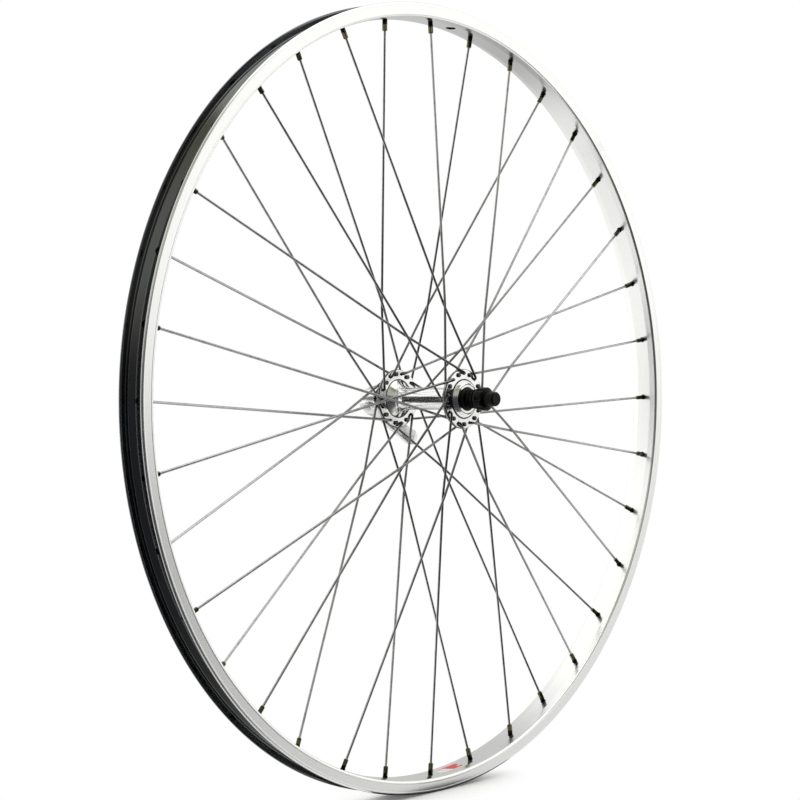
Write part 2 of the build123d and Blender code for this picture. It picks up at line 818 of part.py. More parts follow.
# ================================================================ export
named_parts = {
    "rim": rim,
    "rim_joint_inserts": rim_joint_inserts,
    "rim_sticker": rim_sticker,
    "spokes_right_heads_out": spokes_right_heads_out,
    "spokes_right_heads_in": spokes_right_heads_in,
    "spokes_left_heads_out": spokes_left_heads_out,
    "spokes_left_heads_in": spokes_left_heads_in,
    "nipples_right": nipples_right,
    "nipples_left": nipples_left,
    "hub_shell": hub_shell,
    "bearing_cup_left": bearing_cup_left,
    "bearing_cup_right": bearing_cup_right,
    "dust_cap_left": dust_cap_left,
    "dust_cap_right": dust_cap_right,
    "bearing_balls_left": bearing_balls_left,
    "bearing_balls_right": bearing_balls_right,
    "ball_retainer_left": ball_retainer_left,
    "ball_retainer_right": ball_retainer_right,
    "axle": axle,
    "cone_left": cone_left,
    "cone_right": cone_right,
    "cone_seal_left": cone_seal_left,
    "cone_seal_right": cone_seal_right,
    "lock_washer_left": lock_washer_left,
    "lock_washer_right": lock_washer_right,
    "locknut_left": locknut_left,
    "locknut_right": locknut_right,
    "skewer_rod": skewer_rod,
    "cam_housing": cam_housing,
    "cam_pin": cam_pin,
    "pin_clip": pin_clip,
    "cam_lever": cam_lever,
    "spring_left": spring_left,
    "spring_right": spring_right,
    "adjusting_nut": adjusting_nut,
    "nut_clamp_ring": nut_clamp_ring,
}
for name, builder in named_parts.items():
    builder.part.label = name
    export_step(builder.part, f"parts/{name}.step")
    solids = builder.part.solids()
    volume = sum(solid.volume for solid in solids)
    print(f"{name}: {len(solids)} solid(s), {volume:.1f} mm3")
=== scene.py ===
"""Looks of the spoked front wheel: fine rim, threaded axle, finishes, plain studio and camera."""

import json
import math

import bmesh
import bpy
import numpy as np
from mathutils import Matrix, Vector
from mathutils.geometry import tessellate_polygon


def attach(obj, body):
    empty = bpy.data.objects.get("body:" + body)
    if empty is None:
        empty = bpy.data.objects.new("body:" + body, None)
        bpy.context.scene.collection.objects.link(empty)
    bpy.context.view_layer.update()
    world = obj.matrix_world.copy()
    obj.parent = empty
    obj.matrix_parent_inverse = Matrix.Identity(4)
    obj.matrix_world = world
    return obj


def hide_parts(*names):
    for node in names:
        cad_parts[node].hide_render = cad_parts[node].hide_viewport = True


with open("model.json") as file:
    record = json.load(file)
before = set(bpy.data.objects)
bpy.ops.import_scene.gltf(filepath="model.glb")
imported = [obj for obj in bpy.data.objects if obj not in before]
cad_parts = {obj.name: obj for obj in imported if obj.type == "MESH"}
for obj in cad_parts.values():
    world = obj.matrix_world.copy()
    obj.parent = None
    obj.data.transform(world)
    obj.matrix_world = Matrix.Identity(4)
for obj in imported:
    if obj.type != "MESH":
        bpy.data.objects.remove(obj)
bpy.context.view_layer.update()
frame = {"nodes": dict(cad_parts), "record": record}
nodes = frame["nodes"]
MM = 0.001
SAME = 1e-6

# ------------------------------------------------------------------ rim
# sizes in mm, angles in degrees round the axle, from +X towards +Z; a section corner is
# (radius, half width, rounding), and they run from the hub side out to the tyre channel
RIM_TOP = 317.0
RIM_BED = 306.9
RIM_INSIDE = 305.0
HALF_WIDTH = 12.75
TRACK_HALF = 12.69
CHANNEL_HALF = 11.3
RIM_HALF = [
    (RIM_INSIDE, 6.5, 1.5),
    (305.9, HALF_WIDTH, 2.0),
    (308.0, HALF_WIDTH, 0.8),
    (308.5, TRACK_HALF, 0.8),
    (314.2, TRACK_HALF, 0.8),
    (314.8, HALF_WIDTH, 0.8),
    (RIM_TOP, HALF_WIDTH, 1.6),
    (RIM_TOP, 10.55, 0.5),
    (315.4, 10.35, 0.4),
    (314.6, 11.2, 0.4),
    (311.2, CHANNEL_HALF, 0.8),
    (311.0, 8.6, 1.0),
    (RIM_BED, 5.4, 1.0),
]
CHAMBER_HALF = [(306.65, 7.1), (307.1, 11.3), (309.6, 11.3), (309.6, 9.4)]
CHAMBER_ROUNDING = 0.4
CHAMBER_SKIP = 4
CHAMBER_STEP_DEGREES = 30.0
SEAM_ANGLE = 265.0
SEAM_GAP = 0.12
RIM_STEPS = 1080
# the middle strips of the bed, cut into cells so that holes can be left out of them
STRIP_HALF = 4.6
STRIP_CELLS = 8
NIPPLES_PER_SIDE = 18
NIPPLE_PITCH = 360.0 / NIPPLES_PER_SIDE
NIPPLE_HOLE = 2.3
NIPPLE_HOLE_REACH = 3
NIPPLE_STAGGER = 0.8
VALVE_HOLE = 4.25
VALVE_HOLE_REACH = 5
VALVE_ANGLE = 85.0
HOLE_CHAMFER = 0.15


def rounded_outline(corners, step_degrees=14.0):
    """Closed outline from (radius, height, rounding) corners: points and outward normals."""
    pts = [np.array(c[:2], float) for c in corners]
    count = len(pts)
    area = sum(
        pts[i][0] * pts[(i + 1) % count][1] - pts[(i + 1) % count][0] * pts[i][1]
        for i in range(count)
    )
    turn_sign = 1.0 if area > 0 else -1.0
    out = []
    for i in range(count):
        before, here, after = pts[i - 1], pts[i], pts[(i + 1) % count]
        d_in = (here - before) / np.linalg.norm(here - before)
        d_out = (after - here) / np.linalg.norm(after - here)
        cross = d_in[0] * d_out[1] - d_in[1] * d_out[0]
        angle = math.atan2(cross, float(d_in @ d_out))
        radius = corners[i][2]
        n_in = np.array([d_in[1], -d_in[0]]) * turn_sign
        bulge = 1.0 if angle * turn_sign > 0 else -1.0
        centre = here - d_in * radius * math.tan(abs(angle) / 2) - n_in * radius * bulge
        steps = max(2, math.ceil(abs(math.degrees(angle)) / step_degrees))
        for k in range(steps + 1):
            a = angle * k / steps
            c, s = math.cos(a), math.sin(a)
            n = np.array([n_in[0] * c - n_in[1] * s, n_in[0] * s + n_in[1] * c])
            out.append((centre + n * radius * bulge, n))
    return out


class Builder:
    """Collects vertices and faces, each face corner with its own normal."""

    def __init__(self):
        self.points = []
        self.faces = []
        self.normals = []

    def point(self, p):
        """Adds a vertex and gives its number."""
        self.points.append(p)
        return len(self.points) - 1

    def face(self, corners, normals):
        """Adds a face, turned to look the way its corner normals do."""
        p = [np.array(self.points[c]) for c in corners]
        flat = np.cross(p[1] - p[0], p[2] - p[0])
        if len(p) == 4:
            flat = flat + np.cross(p[2] - p[0], p[3] - p[0])
        if flat @ sum(np.array(n) for n in normals) < 0:
            corners, normals = corners[::-1], normals[::-1]
        self.faces.append(list(corners))
        self.normals.extend(tuple(n) for n in normals)

    def build(self, name, material, body):
        """Makes the collected faces an object that rides on a body."""
        mesh = bpy.data.meshes.new(name)
        mesh.from_pydata([tuple(p) for p in self.points], [], self.faces)
        mesh.polygons.foreach_set("use_smooth", [True] * len(mesh.polygons))
        mesh.normals_split_custom_set([Vector(n) for n in self.normals])
        mesh.materials.append(material)
        obj = bpy.data.objects.new(name, mesh)
        bpy.context.scene.collection.objects.link(obj)
        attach(obj, body)
        return obj


def around(radius, angle, height):
    """Point in metres from radius and height in mm and the angle round the axle."""
    return (
        radius * math.cos(angle) * MM,
        height * MM,
        radius * math.sin(angle) * MM,
    )


def turned_normal(n, angle):
    """Section normal (outwards, along the axle) turned to an angle round the axle."""
    return (n[0] * math.cos(angle), n[1], n[0] * math.sin(angle))


# ------------------------------------------------------------------ shader helpers
class Nodes:
    """Small wrapper to build node trees in few lines."""

    def __init__(self, tree):
        self.tree = tree
        tree.nodes.clear()

    def add(self, kind, inputs=None, **props):
        node = self.tree.nodes.new(kind)
        for key, value in props.items():
            setattr(node, key, value)
        for key, value in (inputs or {}).items():
            self.put(node.inputs[key], value)
        return node

    def put(self, socket, value):
        if isinstance(value, bpy.types.NodeSocket):
            self.tree.links.new(value, socket)
        elif isinstance(value, bpy.types.Node):
            self.tree.links.new(value.outputs[0], socket)
        else:
            socket.default_value = value

    def math(self, operation, a, b=0.0, c=0.0):
        node = self.add("ShaderNodeMath", operation=operation)
        for socket, value in zip(node.inputs, (a, b, c)):
            self.put(socket, value)
        return node.outputs[0]

    def ramp(self, value, low, high, to_low=0.0, to_high=1.0):
        """Smooth step from to_low to to_high while value goes from low to high."""
        node = self.add("ShaderNodeMapRange", clamp=True)
        node.interpolation_type = "SMOOTHSTEP"
        for key, v in zip((0, 1, 2, 3, 4), (value, low, high, to_low, to_high)):
            self.put(node.inputs[key], v)
        return node.outputs[0]

    def noise(self, vector, scale, detail=2.0, rough=0.5, w=None):
        node = self.add("ShaderNodeTexNoise", noise_dimensions="3D" if w is None else "4D")
        self.put(node.inputs["Vector"], vector)
        node.inputs["Scale"].default_value = scale
        node.inputs["Detail"].default_value = detail
        node.inputs["Roughness"].default_value = rough
        if w is not None:
            self.put(node.inputs["W"], w)
        return node.outputs["Fac"]

    def mix(self, factor, a, b):
        node = self.add("ShaderNodeMix", data_type="RGBA")
        for key, v in (("Factor", factor), ("A", a), ("B", b)):
            sockets = [s for s in node.inputs if s.name == key and s.enabled]
            self.put(sockets[0], v)
        return [s for s in node.outputs if s.enabled][0]

    def dot(self, vector, axis):
        node = self.add("ShaderNodeVectorMath", operation="DOT_PRODUCT")
        self.put(node.inputs[0], vector)
        node.inputs[1].default_value = axis
        return node.outputs["Value"]


def wheel_coordinates(t):
    """Sockets: place, radius and place along the axle in mm, cosine and sine of the angle."""
    where = t.add("ShaderNodeTexCoord").outputs["Object"]
    split = t.add("ShaderNodeSeparateXYZ", {0: where})
    x, y, z = (t.math("MULTIPLY", axis, 1.0 / MM) for axis in split.outputs)
    square = t.math("ADD", t.math("MULTIPLY", x, x), t.math("MULTIPLY", z, z))
    radius = t.math("SQRT", square)
    cosine = t.math("DIVIDE", x, radius)
    sine = t.math("DIVIDE", z, radius)
    return where, radius, y, cosine, sine


def rgb(r, g, b):
    return (r, g, b, 1.0)


def grey(value):
    return rgb(value, value, value)


def new_material(name):
    material = bpy.data.materials.new(name)
    material.use_nodes = True
    return material, Nodes(material.node_tree)


def finish_surface(t, color, rough, metallic=1.0, height=None, bump=0.2, distance=0.0001, **extra):
    """Principled surface from sockets or values, with a bump when height is given."""
    surface = t.add("ShaderNodeBsdfPrincipled")
    t.put(surface.inputs["Base Color"], color)
    t.put(surface.inputs["Roughness"], rough)
    t.put(surface.inputs["Metallic"], metallic)
    for key, value in extra.items():
        t.put(surface.inputs[key.replace("_", " ")], value)
    if height is not None:
        node = t.add("ShaderNodeBump")
        node.inputs["Strength"].default_value = bump
        node.inputs["Distance"].default_value = distance
        t.put(node.inputs["Height"], height)
        t.put(surface.inputs["Normal"], node.outputs[0])
    t.add("ShaderNodeOutputMaterial", {"Surface": surface})


# painted shade: near-black colour laid into the corners and gaps of turned parts
PAINTED_CORNER_SHADE = rgb(0.04, 0.04, 0.042)


def turned_metal(
    name, base, dark, rough, grain=14.0, spread=0.10, wear=0.5, bump=0.12, painted_shade_bands=()
):
    """Metal turned round the axle: fine rings, uneven polish, small stains, painted shade in corners
    and gaps.
    """
    round_axle = 6.0
    material, t = new_material(name)
    where, radius, y, cosine, sine = wheel_coordinates(t)
    fine = t.add(
        "ShaderNodeCombineXYZ",
        {
            0: t.math("MULTIPLY", radius, grain),
            1: t.math("MULTIPLY", y, grain),
            2: t.math("MULTIPLY", cosine, round_axle),
        },
    )
    rings = t.noise(fine.outputs[0], 1.0, 3.0, 0.6, w=t.math("MULTIPLY", sine, round_axle))
    cloud = t.noise(where, 90.0, 3.0, 0.55)
    speck = t.noise(where, 1400.0, 2.0, 0.6)
    stain = t.ramp(t.math("ADD", cloud, t.math("MULTIPLY", speck, 0.25)), 0.58, 0.80)
    tone = t.math("MULTIPLY", stain, wear)
    color = t.mix(tone, base, dark)
    # painted shade: near-black bands at the given radii
    for low, high in painted_shade_bands:
        band = t.ramp(radius, low - 0.15, low + 0.15)
        band = t.math("MULTIPLY", band, t.ramp(radius, high - 0.2, high + 0.3, 1.0, 0.0))
        color = t.mix(band, color, PAINTED_CORNER_SHADE)
    r = t.math("ADD", t.math("MULTIPLY", rings, spread), rough - spread / 2)
    r = t.math("ADD", r, t.math("MULTIPLY", cloud, 0.06))
    height = t.math("ADD", rings, t.math("MULTIPLY", speck, 0.35))
    finish_surface(t, color, r, 1.0, height, bump, 0.00004)
    return material


# ------------------------------------------------------------------ materials
BLACK = grey(0.0)
RED = rgb(0.74, 0.02, 0.035)
LIGHT_RED = rgb(0.80, 0.05, 0.06)
WHITE_FILM = rgb(0.86, 0.86, 0.85)
POLISHED_RIM = rgb(0.90, 0.90, 0.89)
SCUFFED_RIM = rgb(0.80, 0.80, 0.795)
# painted shade: dark colours of the tyre channel, standing in for its shade
CHANNEL_SHADE_DARK = rgb(0.14, 0.145, 0.15)
CHANNEL_SHADE_LIGHT = rgb(0.20, 0.205, 0.21)
# painted shade: near-black colour of the drilled hole walls
HOLE_WALL_SHADE = grey(0.015)
# where the printing starts, in degrees, on the -180 to 180 scale of an arc tangent
STICKER_ANGLE = 271.4 - 360.0


def make_rim_material():
    """Polished alloy: rolled inner side, finely turned side walls, tyre channel darkened with painted
    shade.
    """
    material, t = new_material("rim_alloy_look")
    where, radius, y, cosine, sine = wheel_coordinates(t)
    side = t.math("ABSOLUTE", y)
    wall = t.ramp(side, HALF_WIDTH - 0.2, HALF_WIDTH - 0.05)
    channel_depth = t.ramp(radius, RIM_BED - 0.6, RIM_BED - 0.1)
    inside = t.ramp(side, CHANNEL_HALF + 0.1, CHANNEL_HALF + 0.25, 1.0, 0.0)
    channel = t.math("MULTIPLY", channel_depth, inside)
    line_turn = 5.0
    groove_turn = 1.5
    lines = t.noise(
        t.add(
            "ShaderNodeCombineXYZ",
            {
                0: t.math("MULTIPLY", radius, 3.0),
                1: t.math("MULTIPLY", y, 3.5),
                2: t.math("MULTIPLY", cosine, line_turn),
            },
        ).outputs[0],
        1.0,
        4.0,
        0.65,
        w=t.math("MULTIPLY", sine, line_turn),
    )
    grooves = t.noise(
        t.add(
            "ShaderNodeCombineXYZ",
            {
                0: t.math("MULTIPLY", radius, 9.0),
                1: 0.0,
                2: t.math("MULTIPLY", cosine, groove_turn),
            },
        ).outputs[0],
        1.0,
        2.0,
        0.5,
        w=t.math("MULTIPLY", sine, groove_turn),
    )
    cloud = t.noise(where, 26.0, 3.0, 0.55)
    speck = t.noise(where, 900.0, 2.0, 0.6)
    uneven = t.math("MULTIPLY_ADD", cloud, 0.6, t.math("MULTIPLY", lines, 0.5))
    scuff = t.ramp(uneven, 0.60, 0.78)
    bright = t.mix(scuff, POLISHED_RIM, SCUFFED_RIM)
    # painted shade mixed into the tyre channel
    shade = t.mix(cloud, CHANNEL_SHADE_DARK, CHANNEL_SHADE_LIGHT)
    color = t.mix(channel, bright, shade)
    # only the walls of the drilled holes lie between the two surfaces of the bed
    below_inside = t.ramp(radius, RIM_INSIDE + 0.08, RIM_INSIDE + 0.2)
    above_bed = t.ramp(radius, RIM_BED - 0.04, RIM_BED - 0.2)
    hole_wall = t.math("MULTIPLY", below_inside, above_bed)
    hole_wall = t.math("MULTIPLY", hole_wall, t.ramp(side, 6.0, 5.6))
    # painted shade on the drilled hole walls
    color = t.mix(hole_wall, color, HOLE_WALL_SHADE)
    polished = t.math("ADD", 0.17, t.math("MULTIPLY", lines, 0.14))
    turned = t.math("ADD", 0.16, t.math("MULTIPLY", grooves, 0.12))
    rough = t.add("ShaderNodeMix", data_type="FLOAT")
    t.put(rough.inputs[0], wall)
    t.put(rough.inputs[2], polished)
    t.put(rough.inputs[3], turned)
    rough_channel = t.math("MULTIPLY_ADD", channel, -0.07, rough.outputs[0])
    wall_grooves = t.math("MULTIPLY", t.math("MULTIPLY", grooves, wall), 1.4)
    height = t.math("MULTIPLY_ADD", lines, 0.6, wall_grooves)
    height = t.math("ADD", height, t.math("MULTIPLY", speck, 0.10))
    finish_surface(t, color, rough_channel, 1.0, height, 0.10, 0.00006)
    return material


def make_drawn_wire(name, base, dark, rough, shade_painter=None):
    """Drawn wire or plated small part: fine mottled shine, with painted shade by its radius if asked.
    """
    material, t = new_material(name)
    where, radius = wheel_coordinates(t)[:2]
    cloud = t.noise(where, 220.0, 3.0, 0.6)
    speck = t.noise(where, 2600.0, 2.0, 0.6)
    color = t.mix(t.ramp(cloud, 0.45, 0.75), base, dark)
    if shade_painter is not None:
        color = shade_painter(t, radius, color)
    r = t.math("MULTIPLY_ADD", cloud, 0.16, rough - 0.08)
    finish_surface(t, color, r, 1.0, speck, 0.10, 0.00003)
    return material


def painted_shade_at_hub(t, radius, color):
    """Painted shade on the spokes towards the hub, most of all at their heads and elbows."""
    level = t.ramp(radius, 50.0, 240.0, 0.50, 1.0)
    level = t.math("MULTIPLY", level, t.ramp(radius, 22.2, 24.5, 0.35, 1.0))
    return t.mix(level, BLACK, color)


def painted_shade_foot(t, radius, color):
    """Painted shade makes the nipples near black where they enter the rim."""
    return t.mix(t.ramp(radius, 300.4, 301.6), color, rgb(0.006, 0.006, 0.005))


def make_plastic(name, base, worn, rough, specular):
    """Moulded or coated black part with fine grain and uneven worn patches."""
    material, t = new_material(name)
    where = t.add("ShaderNodeTexCoord").outputs["Object"]
    grain = t.noise(where, 3800.0, 3.0, 0.6)
    cloud = t.noise(where, 260.0, 3.0, 0.6)
    color = t.mix(t.ramp(cloud, 0.50, 0.78), base, worn)
    r = t.math("MULTIPLY_ADD", cloud, 0.18, rough - 0.09)
    finish_surface(t, color, r, 0.0, grain, 0.16, 0.00005, Specular_IOR_Level=specular)
    return material


def make_sticker():
    """White film with a red slanted block, a thin red line and a small pale chip."""
    material, t = new_material("sticker_look")
    where, _, y, cosine, sine = wheel_coordinates(t)
    # u runs along the label and y across it, in mm
    angle = t.math("ARCTAN2", sine, cosine)
    along = t.math("MULTIPLY", angle, RIM_INSIDE)
    u = t.math("SUBTRACT", along, math.radians(STICKER_ANGLE) * RIM_INSIDE)
    slant = t.math("ADD", u, t.math("MULTIPLY", y, 0.5))
    margin = t.ramp(t.math("ABSOLUTE", y), 4.8, 5.1, 1.0, 0.0)
    block = t.math("MULTIPLY", t.ramp(slant, 14.6, 15.2), margin)
    line = t.math("MULTIPLY", t.ramp(y, 2.9, 3.1), t.ramp(y, 4.0, 4.2, 1.0, 0.0))
    off_chip = t.math("ABSOLUTE", t.math("ADD", y, 1.2))
    chip = t.math("MULTIPLY", t.ramp(u, 25.6, 26.2), t.ramp(off_chip, 0.7, 1.0, 1.0, 0.0))
    printed = t.math("MULTIPLY", t.math("MAXIMUM", block, line), t.math("SUBTRACT", 1.0, chip))
    white = t.math("SUBTRACT", 1.0, printed)
    cloud = t.noise(where, 700.0, 3.0, 0.6)
    color = t.mix(white, t.mix(cloud, RED, LIGHT_RED), WHITE_FILM)
    r = t.math("MULTIPLY_ADD", cloud, 0.15, 0.28)
    finish_surface(t, color, r, 0.0, cloud, 0.08, 0.00004)
    return material


# radii between which a turned part gets painted shade in its corners and gaps, mm
HUB_PAINTED_SHADE = ((15.0, 16.0), (23.5, 24.0))
CAP_PAINTED_SHADE = ((8.6, 9.6), (11.4, 11.9))
looks = {
    "rim_alloy": make_rim_material(),
    "insert_alloy": turned_metal("insert_alloy_look", grey(0.67), grey(0.5), 0.40),
    "sticker": make_sticker(),
    "spoke_steel": make_drawn_wire(
        "spoke_steel_look", grey(0.49), grey(0.33), 0.11, shade_painter=painted_shade_at_hub
    ),
    "nipple_brass": make_drawn_wire(
        "nipple_look", rgb(0.13, 0.115, 0.055), rgb(0.04, 0.035, 0.02), 0.13, shade_painter=painted_shade_foot
    ),
    "hub_alloy": turned_metal(
        "hub_alloy_look",
        grey(0.90),
        grey(0.74),
        0.10,
        grain=10.0,
        spread=0.06,
        wear=0.4,
        bump=0.08,
        painted_shade_bands=HUB_PAINTED_SHADE,
    ),
    "race_steel": turned_metal("race_steel_look", grey(0.61), grey(0.40), 0.22),
    "cap_chrome": turned_metal(
        "cap_chrome_look", grey(0.89), grey(0.70), 0.10, grain=8.0, spread=0.06, painted_shade_bands=CAP_PAINTED_SHADE
    ),
    "ball_steel": turned_metal(
        "ball_steel_look", grey(0.83), grey(0.70), 0.08, grain=4.0, spread=0.04
    ),
    "axle_steel": turned_metal("axle_steel_look", grey(0.51), grey(0.30), 0.30),
    "black_steel": make_plastic("black_steel_look", grey(0.002), grey(0.005), 0.22, 0.16),
    "seal_rubber": make_plastic("seal_rubber_look", grey(0.004), grey(0.010), 0.50, 0.2),
    "rod_steel": turned_metal("rod_steel_look", grey(0.63), grey(0.43), 0.28),
    "housing_chrome": turned_metal(
        "housing_chrome_look", grey(0.85), grey(0.67), 0.12, grain=6.0, spread=0.06
    ),
    "lever_chrome": make_drawn_wire("lever_chrome_look", grey(0.91), grey(0.80), 0.28),
    "spring_steel": make_drawn_wire("spring_steel_look", grey(0.56), grey(0.39), 0.22),
    "nut_black": make_plastic("nut_black_look", grey(0.001), grey(0.003), 0.22, 0.11),
    "ring_steel": turned_metal("ring_steel_look", grey(0.06), grey(0.03), 0.30),
}
slot_of = {p["node"]: p["material_slot"] for p in frame["record"]["subparts"]}
for name, obj in nodes.items():
    for s in obj.material_slots:
        s.link = "OBJECT"
        s.material = looks[slot_of[name]]


# ------------------------------------------------------------------ fine rim
def rim_section():
    """Rim outline with extra points across the two drilled strips, and those strips."""
    corners = RIM_HALF + [(r, -w, rounding) for r, w, rounding in reversed(RIM_HALF)]
    outline = rounded_outline(corners)
    rows = np.linspace(STRIP_HALF, -STRIP_HALF, STRIP_CELLS + 1)
    section = []
    strips = []
    for i, (p, n) in enumerate(outline):
        section.append((p, n))
        q = outline[(i + 1) % len(outline)][0]
        crosses_middle = abs(p[0] - q[0]) < SAME and abs(p[1] + q[1]) < SAME
        drilled = min(abs(p[0] - RIM_INSIDE), abs(p[0] - RIM_BED)) < SAME
        if crosses_middle and drilled and abs(p[1] - q[1]) > 2 * STRIP_HALF:
            sign = 1.0 if p[1] > 0 else -1.0
            strips.append((len(section), p[0], sign))
            section += [(np.array([p[0], sign * y]), n) for y in rows]
    return section, strips, rows


def rim_angles():
    """Angles of the rim's cross sections, from one side of the butt seam to the other."""
    half_gap = SEAM_GAP / 2 / RIM_TOP
    angles = [math.radians(SEAM_ANGLE + 360.0 * j / RIM_STEPS) for j in range(RIM_STEPS + 1)]
    angles[0] += half_gap
    angles[-1] -= half_gap
    return angles


def rim_holes():
    """Nipple holes and valve hole: nearest step, angle, offset, radius and reach in steps."""
    nipple = (NIPPLE_HOLE, NIPPLE_HOLE_REACH)
    right = [(NIPPLE_PITCH * (i + 0.5), -NIPPLE_STAGGER, *nipple) for i in range(NIPPLES_PER_SIDE)]
    left = [(NIPPLE_PITCH * i, NIPPLE_STAGGER, *nipple) for i in range(NIPPLES_PER_SIDE)]
    placed = []
    valve = (VALVE_ANGLE, 0.0, VALVE_HOLE, VALVE_HOLE_REACH)
    for degrees, y0, radius, reach in [*right, *left, valve]:
        j0 = round(((degrees - SEAM_ANGLE) % 360.0) * RIM_STEPS / 360.0)
        placed.append((j0, math.radians(degrees), y0, radius, reach))
    return placed


def quad_normals(n1, n2, a1, a2):
    """Normals of a quad between two outline points and two angles."""
    return [turned_normal(n, a) for n, a in ((n1, a1), (n1, a2), (n2, a2), (n2, a1))]


def add_skin(b, section, strips, angles, grid, holes):
    """The rim's surface, left open round the holes."""
    cut = set()
    for j0, _, _, _, reach in holes:
        cut.update(range(j0 - reach, j0 + reach))
    strip_cells = {start + k for start, _, _ in strips for k in range(STRIP_CELLS)}
    count = len(section)
    for j in range(RIM_STEPS):
        for k in range(count):
            if j in cut and k in strip_cells:
                continue
            k2 = (k + 1) % count
            ring = [grid[j][k], grid[j + 1][k], grid[j + 1][k2], grid[j][k2]]
            b.face(ring, quad_normals(section[k][1], section[k2][1], angles[j], angles[j + 1]))


def opening_border(j0, reach, sign):
    """Steps and rows of the square opening left round a hole, in order."""
    border = [(j, 0) for j in range(j0 - reach, j0 + reach)]
    border += [(j0 + reach, k) for k in range(STRIP_CELLS)]
    border += [(j, STRIP_CELLS) for j in range(j0 + reach, j0 - reach, -1)]
    border += [(j0 - reach, k) for k in range(STRIP_CELLS, 0, -1)]
    if sign < 0:
        border = [(j, STRIP_CELLS - k) for j, k in border]
    return border


def add_hole(b, hole, strips, rows, angles, grid):
    """One drilled hole through both strips: chamfered edges and the wall between them."""
    j0, a0, y0, radius, reach = hole
    tangent = np.array([-math.sin(a0), 0.0, math.cos(a0)])
    outward = np.array([math.cos(a0), 0.0, math.sin(a0)])
    upward = np.array([0.0, 1.0, 0.0])

    def to_middle(phi):
        """Direction from the hole's wall towards its axis."""
        return -(tangent * math.cos(phi) + upward * math.sin(phi))

    loops = []
    for start, flat_radius, sign in strips:
        border = opening_border(j0, reach, sign)
        rim_side = 1.0 if flat_radius == RIM_BED else -1.0
        edge, surface, wall, turn = [], [], [], []
        for j, k in border:
            s = flat_radius * math.remainder(angles[j] - a0, math.tau)
            phi = math.atan2(sign * rows[k] - y0, s)
            turn.append(phi)
            edge.append((grid[j][start + k], turned_normal((rim_side, 0.0), angles[j])))
            ring_r = radius + HOLE_CHAMFER
            across = ring_r * math.cos(phi)
            depth = math.sqrt(flat_radius**2 - across**2)
            at = outward * depth + tangent * across + upward * (y0 + ring_r * math.sin(phi))
            lean = math.asin(across / flat_radius)
            surface.append((b.point(tuple(at * MM)), turned_normal((rim_side, 0.0), a0 + lean)))
            across = radius * math.cos(phi)
            depth = math.sqrt(flat_radius**2 - across**2) - rim_side * HOLE_CHAMFER
            at = outward * depth + tangent * across + upward * (y0 + radius * math.sin(phi))
            wall.append(b.point(tuple(at * MM)))
        size = len(border)
        for i in range(size):
            i2 = (i + 1) % size
            around_hole = [edge[i], edge[i2], surface[i2], surface[i]]
            b.face([c[0] for c in around_hole], [c[1] for c in around_hole])
            slopes = []
            for phi in (turn[i], turn[i2]):
                slopes.append(tuple((to_middle(phi) + outward * rim_side) / math.sqrt(2)))
            b.face(
                [surface[i][0], surface[i2][0], wall[i2], wall[i]],
                [slopes[0], slopes[1], slopes[1], slopes[0]],
            )
        loops.append((wall, turn))

    (wall_a, turn_a), (wall_b, turn_b) = loops
    size = len(wall_a)

    def nearest(phi):
        """Number of the point of the second loop that faces a point of the first."""
        return min(range(size), key=lambda m: abs(math.remainder(turn_b[m] - phi, math.tau)))

    partner = [nearest(phi) for phi in turn_a]
    for i in range(size):
        i2 = (i + 1) % size
        n1, n2 = tuple(to_middle(turn_a[i])), tuple(to_middle(turn_a[i2]))
        b.face([wall_a[i], wall_a[i2], wall_b[partner[i2]], wall_b[partner[i]]], [n1, n2, n2, n1])


def add_chambers(b, angles):
    """The two hollow side chambers, each a closed tube seen at the seam only."""
    chambers = []
    steps = list(range(0, RIM_STEPS, CHAMBER_SKIP)) + [RIM_STEPS]
    for sign in (1.0, -1.0):
        corners = [(r, sign * w, CHAMBER_ROUNDING) for r, w in CHAMBER_HALF]
        ring = rounded_outline(corners, CHAMBER_STEP_DEGREES)
        tube = [[b.point(around(p[0], angles[j], p[1])) for p, n in ring] for j in steps]
        for i in range(len(steps) - 1):
            for k in range(len(ring)):
                k2 = (k + 1) % len(ring)
                quad = [tube[i][k], tube[i + 1][k], tube[i + 1][k2], tube[i][k2]]
                a1, a2 = angles[steps[i]], angles[steps[i + 1]]
                b.face(quad, quad_normals(-ring[k][1], -ring[k2][1], a1, a2))
        chambers.append((ring, tube))
    return chambers


def add_seam_faces(b, section, angles, grid, chambers):
    """The two cut ends that face each other at the seam."""
    for end, sense in ((0, -1.0), (-1, 1.0)):
        loops = [[Vector((p[0], p[1], 0.0)) for p, n in section]]
        index = list(grid[end])
        for ring, tube in chambers:
            loops.append([Vector((p[0], p[1], 0.0)) for p, n in ring])
            index += tube[end]
        a = angles[end]
        normal = (-math.sin(a) * sense, 0.0, math.cos(a) * sense)
        for tri in tessellate_polygon(loops):
            b.face([index[i] for i in tri], [normal] * 3)


def make_rim():
    """The rim hoop in fine steps, with its drilled holes, chambers and butt seam."""
    section, strips, rows = rim_section()
    angles = rim_angles()
    holes = rim_holes()
    b = Builder()
    grid = [[b.point(around(p[0], a, p[1])) for p, n in section] for a in angles]
    add_skin(b, section, strips, angles, grid, holes)
    for hole in holes:
        add_hole(b, hole, strips, rows, angles, grid)
    chambers = add_chambers(b, angles)
    add_seam_faces(b, section, angles, grid, chambers)
    obj = b.build("rim_hoop", looks["rim_alloy"], "wheel")
    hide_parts("rim")


make_rim()


